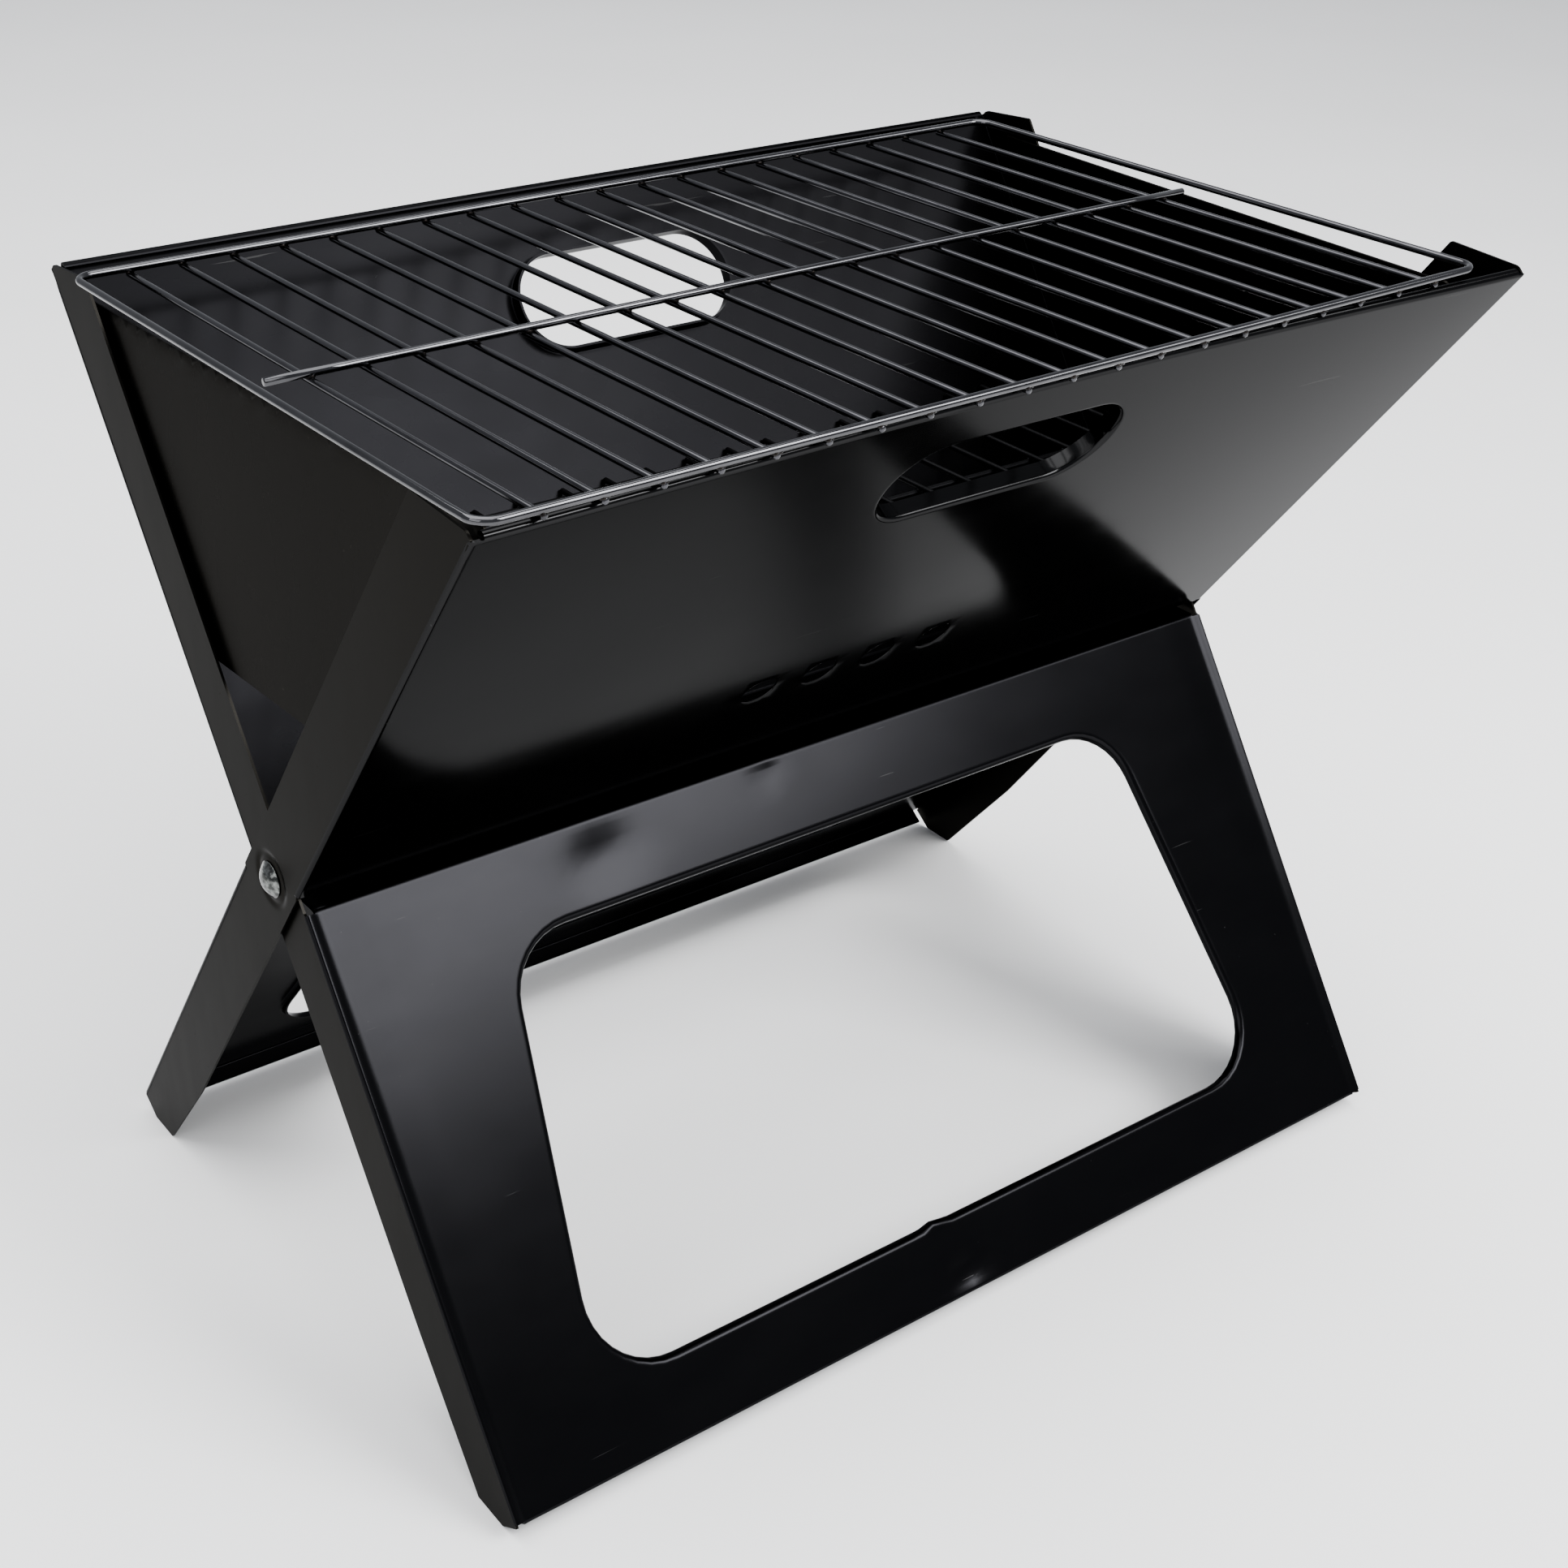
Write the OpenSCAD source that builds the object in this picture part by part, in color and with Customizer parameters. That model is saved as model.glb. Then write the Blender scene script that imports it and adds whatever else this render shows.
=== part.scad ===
// Folding camp grill: two crossed sheet-steel shells that turn on one bolt at each side,
// two end plates, a charcoal grate low in the V and a cooking rack on top.
// X runs along the grill, Y from front to back and Z up; the origin is under the middle.
// Each shell is drawn flat first, in its own frame: X along the grill, Y up the shell's
// slope from the pivot, Z outward through the wall. The rear shell is the same pressing,
// a little narrower, turned half round.

/* [Shells] */
// Width over the outer side strips
grill_w = 450; // [380:1:520]
// Lean of each shell from upright, in degrees
lean = 35.4; // [32:0.1:38]
// Height of the pivot bolts above the ground
pivot_h = 196.4; // [190:0.1:205]
// From the pivot to a wall's top edge, along the slope
wall_top = 232; // [225:1:240]
// From the pivot to a leg's bottom edge, along the slope
leg_bottom = 242.5; // [236:0.5:248]
// Depth of the outer side strips, front to back across the slope
strip_d = 30; // [28:0.5:34]
// Thickness of the sheet steel
sheet = 1; // [0.8:0.1:1.2]
// Step in half width from the outer shell to the inner one
nest_step = 2; // [1.8:0.1:2.4]
// How much shallower the inner shell's free edge is
inner_edge_drop = 1.7; // [1.5:0.1:2.5]

/* [Wall openings] */
// Width of a handle slot
slot_w = 100; // [80:1:120]
// Height of a handle slot along the slope
slot_h = 38; // [30:1:44]
// Depth of the collar round a handle slot
slot_collar = 6; // [3:0.5:8]
// Place of the front slot's middle along the grill
front_slot_x = -8; // [-20:1:20]
// Place of the front slot's middle up the slope
front_slot_u = 191; // [175:1:200]
// Place of the rear slot's middle along the grill
rear_slot_x = 4; // [-20:1:20]
// Place of the rear slot's middle up the slope
rear_slot_u = 183; // [175:1:200]
// Number of air vents in a wall
vent_count = 4; // [2:1:8]
// Distance between vents
vent_pitch = 28; // [22:1:36]
// Radius of a vent
vent_r = 7.5; // [5:0.5:11]
// Height of the vents up the slope
vent_u = 67; // [50:1:90]

/* [Leg windows] */
// Upper edge of the window below the pivot
window_top = 49.3; // [42:0.1:60]
// Lower edge of the window below the pivot
window_bottom = 211; // [190:1:216]
// Half width of the window at its upper edge
window_top_half = 151; // [120:1:160]
// Half width of the window at its lower edge
window_bottom_half = 174; // [140:1:185]
// Corner radius of the window
window_r = 28; // [15:1:40]
// Depth of the turned-in rim round the window
window_collar = 3.5; // [3:0.5:8]
// Width of the turned-in lip along the foot of a leg frame
foot_lip = 8; // [5:0.5:10]
// Width of the level lip along the top of a leg frame
top_lip = 11; // [7:0.5:12]

/* [Pivots] */
// Radius of a pivot bolt's shank
bolt_r = 4; // [3:0.5:5]
// Radius of a bolt's domed head
bolt_head_r = 7; // [6:0.5:9]
// Height of the domed head
bolt_head_h = 3.5; // [2.5:0.1:4]
// Radial running clearance of the inner shell on the bolt
pivot_clearance = 0.06; // [0.02:0.01:0.1]

/* [End plates] */
// Height of an end plate's lower edge above the pivot
end_bottom = 68; // [60:1:74]
// Height of an end plate's upper edge above the pivot
end_top = 175; // [165:1:176]
// Gap from the end plate's edges to the walls, across the slope
end_gap = 9; // [7:0.5:14]
// Turn of the left end plate inwards at the front, in degrees
left_end_turn = 3; // [0:0.5:5]
// Turn of the right end plate inwards at the front, in degrees
right_end_turn = 3.5; // [0:0.5:5]

/* [Cooking rack] */
// Length of the rack along the grill, between frame wire centres
rack_w = 423; // [380:1:430]
// Depth of the rack, between frame wire centres
rack_d = 261; // [240:1:265]
// Radius of the frame wire
frame_wire_r = 1.4; // [1.2:0.1:2]
// Radius of a cross wire
cross_wire_r = 1.2; // [1:0.1:1.5]
// Number of cross wires
rack_wires = 20; // [10:1:24]
// Distance between cross wires
rack_pitch = 19.9; // [14:0.1:22]
// How far a cross wire stands out past the frame wire
wire_overhang = 0.5; // [0:0.5:6]
// Turn of the loose rack about the vertical, in degrees
rack_turn = 0.7; // [0:0.1:1]

/* [Charcoal grate] */
// Length of the charcoal grate, between frame wire centres
grate_w = 390; // [340:1:395]
// Height of the grate's frame wire above the pivot
grate_z = 80; // [76:1:90]
// Number of cross wires in the charcoal grate
grate_wires = 18; // [10:1:20]
// Distance between the grate's cross wires
grate_pitch = 20.2; // [16:0.1:22]

/* [Hidden] */

half_outer = grill_w / 2;
half_inner = half_outer - nest_step;
half_strip = strip_d / 2;
inner_free = half_strip - inner_edge_drop;
// Lowest point of a wall and highest of a leg, along the slope, so that they just clear
shell_gap = 0.5;
wall_bottom = half_strip * tan(lean) + shell_gap;
leg_top = 15.5;
// The cross wires lie on the walls' rolled edges and the frame wire on the strips' corners
hem_r = 1.4;
hem_stand = 0.4;
hem_n = half_strip - sheet + hem_stand - hem_r;
clear_gap = 0.35;
weld_sink = 0.25;
hem_top = (wall_top - hem_r) * cos(lean) - hem_n * sin(lean) + hem_r;
rack_wire_level = hem_top + clear_gap + cross_wire_r;
rack_level = rack_wire_level + cross_wire_r + frame_wire_r - weld_sink;
strip_top_level = rack_level - frame_wire_r - clear_gap;
outer_free_top = (strip_top_level - half_strip * sin(lean)) / cos(lean);
inner_free_top = (strip_top_level - inner_free * sin(lean)) / cos(lean);
// Foot of a strip: square to the slope at the plate, then cut level with the ground
foot_tip_n = 11.2;
foot_taper_u = -170;
// Where the ground cut meets the square foot, across the slope
foot_level_n = (pivot_h - leg_bottom * cos(lean)) / sin(lean);
ear_r = 6;
// Past both faces of what a hole is cut through
cut = 1;
// The ledges under the fire stop this far from the middle, and short of the pivots' nuts
ledge_gap = 1.6;
ledge_half = 212;
// How far the rolled and turned-in edges stop short of the strips
lip_end = 4;
rim_sheet = 1;
slot_corner = 18.5;
arc_steps = 8;
wire_fn = 24;
round_fn = 48;
bolt_reach = 11;
// Inner face of the inner strip, from the outer strip's face
inner_strip_face = -nest_step - sheet;
nut_r = 7.4;
nut_h = 4.5;
washer_r = 9;
friction_washer_h = 0.65;
pivot_washer_h = 0.8;
thread_gap = 0.02;
frame_corner_r = 6;
rack_centre = [-14.5, -15.3];
rack_first_wire = 21;
// How far the rack's bar runs past its first and last cross wires, and the wires' rear ends
rack_bar_ends = [16, 11];
rack_rear_end = 1;
grate_centre_x = -3;
grate_overhang = 3;
grate_bar_inset = 2;
end_stand = 0.5;

steel_black = [0.09, 0.09, 0.10];
steel_dark = [0.16, 0.15, 0.15];
wire_chrome = [0.82, 0.83, 0.85];
wire_black = [0.20, 0.20, 0.20];
bolt_zinc = [0.72, 0.73, 0.74];

// Level of the ground along a strip, at a place across the slope
function ground_u(n) = (-pivot_h + n * sin(lean)) / cos(lean);
// Inside face of a wall, out from the middle, at a height above the pivot
function wall_inside(z) = (half_strip - sheet + z * sin(lean)) / cos(lean);
grate_half_d = floor(wall_inside(grate_z) - (frame_wire_r + 2 * clear_gap) / cos(lean));
grate_wire_level = grate_z + frame_wire_r + cross_wire_r - weld_sink;

// One corner of an outline: the points of an arc of radius r that blends the two sides
function corner_arc(a, b, c, r) =
    let (ab = (a - b) / norm(a - b), cb = (c - b) / norm(c - b))
    let (half = acos(ab * cb) / 2, mid = (ab + cb) / norm(ab + cb))
    let (centre = b + mid * r / sin(half), from = b + ab * r / tan(half) - centre)
    let (side = ab[0] * cb[1] - ab[1] * cb[0] > 0 ? -1 : 1, sweep = 180 - 2 * half)
    [for (i = [0:arc_steps])
        let (t = side * sweep * i / arc_steps)
        centre + [from[0] * cos(t) - from[1] * sin(t), from[0] * sin(t) + from[1] * cos(t)]];

function rounded(points, r) =
    let (n = len(points))
    [for (i = [0:n - 1]) each corner_arc(points[(i + n - 1) % n], points[i], points[(i + 1) % n], r)];

// Placing a shell: the pivot axis is the shell's own X axis
module on_front_shell() {
    translate([0, 0, pivot_h]) rotate([90 + lean, 0, 0]) children();
}

module on_rear_shell() {
    rotate([0, 0, 180]) on_front_shell() children();
}

module at_pivot_height() {
    translate([0, 0, pivot_h]) children();
}

// A sheet piece drawn across the slope (u up the slope, n outward), from x to x + thick
module across(x, thick) {
    translate([x, 0, 0]) rotate([90, 0, 90]) linear_extrude(thick) children();
}

module slot_outline(grow) {
    square([slot_w + 2 * grow, slot_h - 2 * slot_corner], center = true);
    square([slot_w - 2 * slot_corner, slot_h + 2 * grow], center = true);
    for (sx = [-1, 1], sy = [-1, 1])
        translate([sx * (slot_w / 2 - slot_corner), sy * (slot_h / 2 - slot_corner)])
            circle(slot_corner + grow, $fn = round_fn);
}

function window_points(grow) = [
    [-window_top_half - grow, -window_top + grow],
    [-window_bottom_half - grow, -window_bottom - grow],
    [window_bottom_half + grow, -window_bottom - grow],
    [window_top_half + grow, -window_top + grow]];

// Section of a strip of sheet that is level when the grill stands open, starting at a bend.
// It runs w inward from a leg (way 1) or a wall (way -1), on the side away from the bend.
module level_strip(w, way) {
    along = way * [sin(lean), cos(lean)] * w;
    through = -way * [cos(lean), -sin(lean)] * sheet;
    polygon([[0, 0], along, along + through, through]);
}

// Upper half of a shell: the wall with its handle slot, vents, rolled top and bottom lip
module wall(half_w, slot_x, slot_u) {
    vent_start = slot_x - (vent_count - 1) * vent_pitch / 2;
    face = half_strip - sheet;
    inside_w = 2 * half_w - 2 * sheet;
    difference() {
        translate([-inside_w / 2, wall_bottom, face]) cube([inside_w, wall_top - wall_bottom, sheet]);
        translate([slot_x, slot_u, face - cut]) linear_extrude(sheet + 2 * cut) slot_outline(0);
        for (i = [0:vent_count - 1])
            translate([vent_start + i * vent_pitch, vent_u, face - cut])
                cylinder(sheet + 2 * cut, r = vent_r, $fn = round_fn);
    }
    translate([slot_x, slot_u, half_strip - slot_collar]) linear_extrude(slot_collar - sheet)
        difference() {
            slot_outline(rim_sheet);
            slot_outline(0);
        }
    translate([lip_end - inside_w / 2, wall_top - hem_r, hem_n]) rotate([0, 90, 0])
        cylinder(inside_w - 2 * lip_end, r = hem_r, $fn = wire_fn);
    across(-ledge_half, 2 * ledge_half) translate([wall_bottom, half_strip])
        level_strip(wall_bottom * sin(lean) + half_strip * cos(lean) - ledge_gap, -1);
}

// Lower half of a shell: the leg frame with its window, rim and turned-in lips
module leg_frame(half_w) {
    inside_w = 2 * half_w - 2 * sheet;
    difference() {
        translate([-inside_w / 2, -leg_bottom, -half_strip])
            cube([inside_w, leg_bottom - leg_top, sheet]);
        translate([0, 0, -half_strip - cut]) linear_extrude(sheet + 2 * cut)
            polygon(rounded(window_points(0), window_r));
    }
    translate([0, 0, sheet - half_strip]) linear_extrude(window_collar - sheet) difference() {
        polygon(rounded(window_points(rim_sheet), window_r + rim_sheet));
        polygon(rounded(window_points(0), window_r));
    }
    translate([lip_end - inside_w / 2, -leg_bottom, sheet - half_strip])
        cube([inside_w - 2 * lip_end, sheet, foot_lip - sheet]);
    across(lip_end - inside_w / 2, inside_w - 2 * lip_end) translate([-leg_top, -half_strip])
        level_strip(top_lip, 1);
}

// Side strip from the wall's top edge to the foot, with the pivot hole
module side_strip(x, free_n, free_top, hole_r) {
    outline = [[-leg_bottom, -half_strip], [-leg_top, -half_strip], [-leg_top, -free_n],
        [free_top, -free_n], [wall_top - ear_r / 3, half_strip - ear_r],
        [wall_top, half_strip - ear_r / 2], [wall_top - ear_r / 3, half_strip],
        [wall_bottom, half_strip], [wall_bottom, free_n], [foot_taper_u, free_n],
        [ground_u(foot_tip_n), foot_tip_n], [-leg_bottom, foot_level_n]];
    difference() {
        across(x, sheet) polygon(outline);
        translate([x - cut, 0, 0]) rotate([0, 90, 0])
            cylinder(sheet + 2 * cut, r = hole_r, $fn = round_fn);
    }
}

module front_wall() {
    color(steel_dark) on_front_shell() wall(half_outer, front_slot_x, front_slot_u);
}

module rear_leg_frame() {
    color(steel_black) on_front_shell() leg_frame(half_outer);
}

module outer_strip_left() {
    color(steel_dark) on_front_shell()
        side_strip(-half_outer, half_strip, outer_free_top, bolt_r + pivot_clearance);
}

module outer_strip_right() {
    color(steel_dark) on_front_shell()
        side_strip(half_outer - sheet, half_strip, outer_free_top, bolt_r + pivot_clearance);
}

module rear_wall() {
    color(steel_dark) on_rear_shell() wall(half_inner, -rear_slot_x, rear_slot_u);
}

module front_leg_frame() {
    color(steel_black) on_rear_shell() leg_frame(half_inner);
}

module inner_strip_left() {
    color(steel_dark) on_rear_shell()
        side_strip(half_inner - sheet, inner_free, inner_free_top, bolt_r + pivot_clearance);
}

module inner_strip_right() {
    color(steel_dark) on_rear_shell()
        side_strip(-half_inner, inner_free, inner_free_top, bolt_r + pivot_clearance);
}

// A pivot's pieces are drawn on the right-hand side, with X outward from the strip's face
module at_right_pivot() {
    translate([half_outer, 0, pivot_h]) rotate([0, 90, 0]) children();
}

module at_left_pivot() {
    mirror([1, 0, 0]) at_right_pivot() children();
}

module pivot_bolt() {
    dome_r = (bolt_head_r * bolt_head_r + bolt_head_h * bolt_head_h) / (2 * bolt_head_h);
    intersection() {
        translate([0, 0, bolt_head_h - dome_r]) sphere(dome_r, $fn = round_fn);
        cylinder(bolt_head_h, r = bolt_head_r, $fn = round_fn);
    }
    translate([0, 0, -bolt_reach]) cylinder(bolt_reach, r = bolt_r, $fn = round_fn);
}

module ring(low, height, outer_r, inner_r) {
    difference() {
        translate([0, 0, low]) cylinder(height, r = outer_r, $fn = round_fn);
        translate([0, 0, low - cut]) cylinder(height + 2 * cut, r = inner_r, $fn = round_fn);
    }
}

module friction_washer() {
    ring(-sheet - friction_washer_h, friction_washer_h, washer_r, bolt_r + thread_gap);
}

module pivot_washer() {
    ring(inner_strip_face - clear_gap - pivot_washer_h, pivot_washer_h, washer_r, bolt_r + thread_gap);
}

module pivot_nut() {
    low = inner_strip_face - clear_gap - pivot_washer_h - nut_h;
    difference() {
        translate([0, 0, low]) cylinder(nut_h, r = nut_r, $fn = 6);
        translate([0, 0, low - cut]) cylinder(nut_h + 2 * cut, r = bolt_r + thread_gap, $fn = round_fn);
    }
}

module pivot_bolt_left() { color(bolt_zinc) at_left_pivot() pivot_bolt(); }
module pivot_bolt_right() { color(bolt_zinc) at_right_pivot() pivot_bolt(); }
module friction_washer_left() { color(bolt_zinc) at_left_pivot() friction_washer(); }
module friction_washer_right() { color(bolt_zinc) at_right_pivot() friction_washer(); }
module pivot_washer_left() { color(bolt_zinc) at_left_pivot() pivot_washer(); }
module pivot_washer_right() { color(bolt_zinc) at_right_pivot() pivot_washer(); }
module pivot_nut_left() { color(bolt_zinc) at_left_pivot() pivot_nut(); }
module pivot_nut_right() { color(bolt_zinc) at_right_pivot() pivot_nut(); }

// End plate: a trapezium between the walls, turned in about its rear edge.
// It stands one sheet inside the inner strip.
module end_plate(side, turn) {
    edge = end_gap / cos(lean);
    rear_low = wall_inside(end_bottom) - edge;
    rear_high = wall_inside(end_top) - edge;
    x = side * (half_inner - 2 * sheet - end_stand);
    rear_edge_n = half_strip - sheet - end_gap;
    at_pivot_height() translate([x, 0, 0]) rotate([-lean, 0, 0]) translate([0, rear_edge_n, 0])
        rotate([0, 0, -side * turn]) translate([0, -rear_edge_n, 0]) rotate([lean, 0, 0])
        across(-sheet / 2, sheet)
            polygon([[-rear_low, end_bottom], [rear_low, end_bottom],
                [rear_high, end_top], [-rear_high, end_top]]);
}

module end_plate_left() { color(steel_dark) end_plate(-1, left_end_turn); }
module end_plate_right() { color(steel_dark) end_plate(1, right_end_turn); }

module wire(from, to, r) {
    along = to - from;
    translate(from) rotate([0, acos(along[2] / norm(along)), atan2(along[1], along[0])])
        cylinder(norm(along), r = r, $fn = wire_fn);
}

// Closed loop of wire with bent corners, lying level
module wire_loop(w, d, r) {
    straight_w = w / 2 - frame_corner_r;
    straight_d = d / 2 - frame_corner_r;
    for (s = [-1, 1]) {
        wire([-straight_w, s * d / 2, 0], [straight_w, s * d / 2, 0], r);
        wire([s * w / 2, -straight_d, 0], [s * w / 2, straight_d, 0], r);
    }
    for (q = [0:3])
        translate([(q == 0 || q == 3 ? 1 : -1) * straight_w, (q < 2 ? 1 : -1) * straight_d, 0])
            rotate([0, 0, 90 * q]) rotate_extrude(angle = 90, $fn = round_fn)
                translate([frame_corner_r, 0]) circle(r, $fn = wire_fn);
}

module on_rack(level) {
    translate([rack_centre[0], rack_centre[1], pivot_h + level]) rotate([0, 0, rack_turn]) children();
}

module rack_frame_wire() {
    color(wire_chrome) on_rack(rack_level) wire_loop(rack_w, rack_d, frame_wire_r);
}

module rack_cross_wires() {
    reach = rack_d / 2;
    color(wire_chrome) on_rack(rack_wire_level) for (i = [0:rack_wires - 1]) {
        x = -rack_w / 2 + rack_first_wire + i * rack_pitch;
        wire([x, -reach - wire_overhang, 0], [x, reach + rack_rear_end, 0], cross_wire_r);
    }
}

module rack_centre_bar() {
    first = -rack_w / 2 + rack_first_wire;
    last = first + (rack_wires - 1) * rack_pitch;
    color(wire_chrome) on_rack(rack_level)
        wire([first - rack_bar_ends[0], 0, 0], [last + rack_bar_ends[1], 0, 0], frame_wire_r);
}

module on_grate(level) {
    translate([grate_centre_x, 0, pivot_h + level]) children();
}

module grate_frame_wire() {
    color(wire_black) on_grate(grate_z) wire_loop(grate_w, 2 * grate_half_d, frame_wire_r);
}

module grate_cross_wires() {
    reach = grate_half_d + grate_overhang;
    color(wire_black) on_grate(grate_wire_level) for (i = [0:grate_wires - 1]) {
        x = (i - (grate_wires - 1) / 2) * grate_pitch;
        wire([x, -reach, 0], [x, reach, 0], cross_wire_r);
    }
}

module grate_centre_bar() {
    bar = grate_w / 2 - grate_bar_inset;
    color(wire_black) on_grate(grate_z) wire([-bar, 0, 0], [bar, 0, 0], frame_wire_r);
}

front_wall();
rear_leg_frame();
outer_strip_left();
outer_strip_right();
rear_wall();
front_leg_frame();
inner_strip_left();
inner_strip_right();
pivot_bolt_left();
pivot_bolt_right();
friction_washer_left();
friction_washer_right();
pivot_washer_left();
pivot_washer_right();
pivot_nut_left();
pivot_nut_right();
end_plate_left();
end_plate_right();
rack_frame_wire();
rack_cross_wires();
rack_centre_bar();
grate_frame_wire();
grate_cross_wires();
grate_centre_bar();
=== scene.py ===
"""Folding camp grill: the visual model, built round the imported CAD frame.

Sheet pieces are pressed from a flat outline. A shell is drawn in its own frame, in
millimetres: x along the grill, u up the shell's slope from the pivot, n outward through
its wall. The rear shell is the same pressing turned half round.
"""
import math
import random

import bpy
import numpy as np
from mathutils import Matrix, Vector
from mathutils.geometry import delaunay_2d_cdt


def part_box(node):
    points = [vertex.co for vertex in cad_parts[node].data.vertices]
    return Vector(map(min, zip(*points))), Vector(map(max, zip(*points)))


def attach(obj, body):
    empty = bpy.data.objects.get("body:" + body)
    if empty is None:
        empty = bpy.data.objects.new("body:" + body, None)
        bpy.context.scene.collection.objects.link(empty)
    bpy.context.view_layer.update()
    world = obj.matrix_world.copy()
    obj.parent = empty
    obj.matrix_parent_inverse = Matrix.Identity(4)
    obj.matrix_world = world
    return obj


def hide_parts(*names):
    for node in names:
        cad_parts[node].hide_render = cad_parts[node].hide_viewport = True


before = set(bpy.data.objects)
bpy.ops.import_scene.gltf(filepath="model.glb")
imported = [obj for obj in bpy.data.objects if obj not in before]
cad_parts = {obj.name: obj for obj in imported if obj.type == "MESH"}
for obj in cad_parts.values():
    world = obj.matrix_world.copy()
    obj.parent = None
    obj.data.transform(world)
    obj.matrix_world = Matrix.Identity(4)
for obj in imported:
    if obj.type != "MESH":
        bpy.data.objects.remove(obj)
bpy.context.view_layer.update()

MM = 0.001
LEAN = math.radians(35.4)
SIN, COS = math.sin(LEAN), math.cos(LEAN)

# Driving sizes, in millimetres, from the frame where it holds them. A shell is HALF_STRIP
# deep each way from its middle, and the inner shell's strips are shallower at the free edge.
HALF_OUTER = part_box("outer_strip_right")[1][0] / MM
HALF_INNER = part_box("inner_strip_right")[1][0] / MM
PIVOT_H = (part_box("pivot_bolt_left")[0][2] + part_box("pivot_bolt_left")[1][2]) / 2 / MM
HALF_STRIP = 15.0
INNER_FREE = 13.0
SHEET = 1.0
WALL_TOP = 232.0
WALL_BOTTOM = HALF_STRIP * math.tan(LEAN) + 0.5
LEG_TOP = 15.5
LEG_BOTTOM = 242.5
# Bend radius at a shell's sides, and how far the sheet runs on past the bend
SIDE_BEND = 1.3
SIDE_LAP = 0.6
# Radius of the roll along a wall's top edge, and how far round it goes
HEM = 1.9
HEM_TURN = math.radians(200)
# The longest step of an arc in an outline, and a step so long that no side is split
ARC_STEP = math.radians(11)
NO_SPLIT = 900.0
# Width of the soft edge of a cut sheet
SOFT_EDGE = 0.28


# ---------------------------------------------------------------- outlines

def spaced(low, high, step):
    """Evenly spaced values from low to high, both included."""
    count = max(1, round(abs(high - low) / step))
    return [low + (high - low) * i / count for i in range(count + 1)]


def crossed(loop, across, up):
    """The closed outline, with a point added where a level or upright side crosses a grid line."""
    out = []
    for a, b in zip(loop, loop[1:] + loop[:1]):
        out.append(a)
        if abs(a[0] - b[0]) < 1e-6:
            places = [(a[0], v) for v in up if min(a[1], b[1]) + 0.05 < v < max(a[1], b[1]) - 0.05]
            out += sorted(places, key=lambda p: p[1], reverse=a[1] > b[1])
        elif abs(a[1] - b[1]) < 1e-6:
            places = [(v, a[1]) for v in across if min(a[0], b[0]) + 0.05 < v < max(a[0], b[0]) - 0.05]
            out += sorted(places, key=lambda p: p[0], reverse=a[0] > b[0])
    return out


def rounded(corners, radii, step=4.0, grow=0.0, arc_step=ARC_STEP):
    """Points round a closed outline, counter-clockwise, with its corners as arcs of the given
    radius or radii. Straight stretches are split to step, and grow moves every side outward."""
    count = len(corners)
    pts = [Vector(c) for c in corners]
    sides = []
    for i in range(count):
        a, b = pts[i], pts[(i + 1) % count]
        along = (b - a).normalized()
        out = Vector((along.y, -along.x))
        sides.append((a + out * grow, along))
    moved = []
    for i in range(count):
        (p, d), (q, e) = sides[i - 1], sides[i]
        cross = d.x * e.y - d.y * e.x
        t = ((q - p).x * e.y - (q - p).y * e.x) / cross
        moved.append(p + d * t)
    out = []
    for i in range(count):
        a, b, c = moved[i - 1], moved[i], moved[(i + 1) % count]
        r = radii[i] if isinstance(radii, (list, tuple)) else radii
        turn = (b - a).angle_signed(c - b, 0)
        r = r + grow if turn < 0 else max(r - grow, 0.0)
        if r < 0.05:
            arc = [b]
        else:
            cut = r * math.tan(abs(turn) / 2)
            start = b + (a - b).normalized() * cut
            end = b + (c - b).normalized() * cut
            side = (b - a).normalized()
            inward = Vector((-side.y, side.x)) * (1 if turn < 0 else -1)
            centre = start + inward * r
            steps = max(2, math.ceil(abs(turn) / arc_step))
            first = start - centre
            arc = []
            for k in range(steps + 1):
                t = -turn * k / steps
                arc.append(centre + Vector((first.x * math.cos(t) - first.y * math.sin(t),
                                            first.x * math.sin(t) + first.y * math.cos(t))))
            arc[-1] = end
        if out:
            gap = (arc[0] - out[-1]).length
            out += [out[-1].lerp(arc[0], k / math.ceil(gap / step)) for k in range(1, math.ceil(gap / step))]
        out += arc
    gap = (out[0] - out[-1]).length
    last = out[-1]
    out += [last.lerp(out[0], k / math.ceil(gap / step)) for k in range(1, math.ceil(gap / step))]
    return [(p.x, p.y) for p in out]


def circle(x, y, r, count=36):
    return [(x + r * math.cos(2 * math.pi * i / count), y + r * math.sin(2 * math.pi * i / count))
            for i in range(count)]


def inside(loop, pts):
    """Which of the points lie inside the closed outline."""
    loop = np.array(loop)
    nxt = np.roll(loop, -1, axis=0)
    hit = np.zeros(len(pts), dtype=bool)
    for (x0, y0), (x1, y1) in zip(loop, nxt):
        if y0 == y1:
            continue
        spans = (y0 > pts[:, 1]) != (y1 > pts[:, 1])
        hit ^= spans & (pts[:, 0] < (x1 - x0) * (pts[:, 1] - y0) / (y1 - y0) + x0)
    return hit


def gap_to(loop, pts):
    """Distance from each point to the closed outline."""
    loop = np.array(loop)
    nxt = np.roll(loop, -1, axis=0)
    best = np.full(len(pts), 1e9)
    for a, b in zip(loop, nxt):
        along = b - a
        length = max(np.hypot(*along), 1e-9)
        t = np.clip(((pts - a) @ along) / length ** 2, 0, 1)
        best = np.minimum(best, np.hypot(*(pts - a - np.outer(t, along)).T))
    return best


# ---------------------------------------------------------------- mesh building

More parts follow.
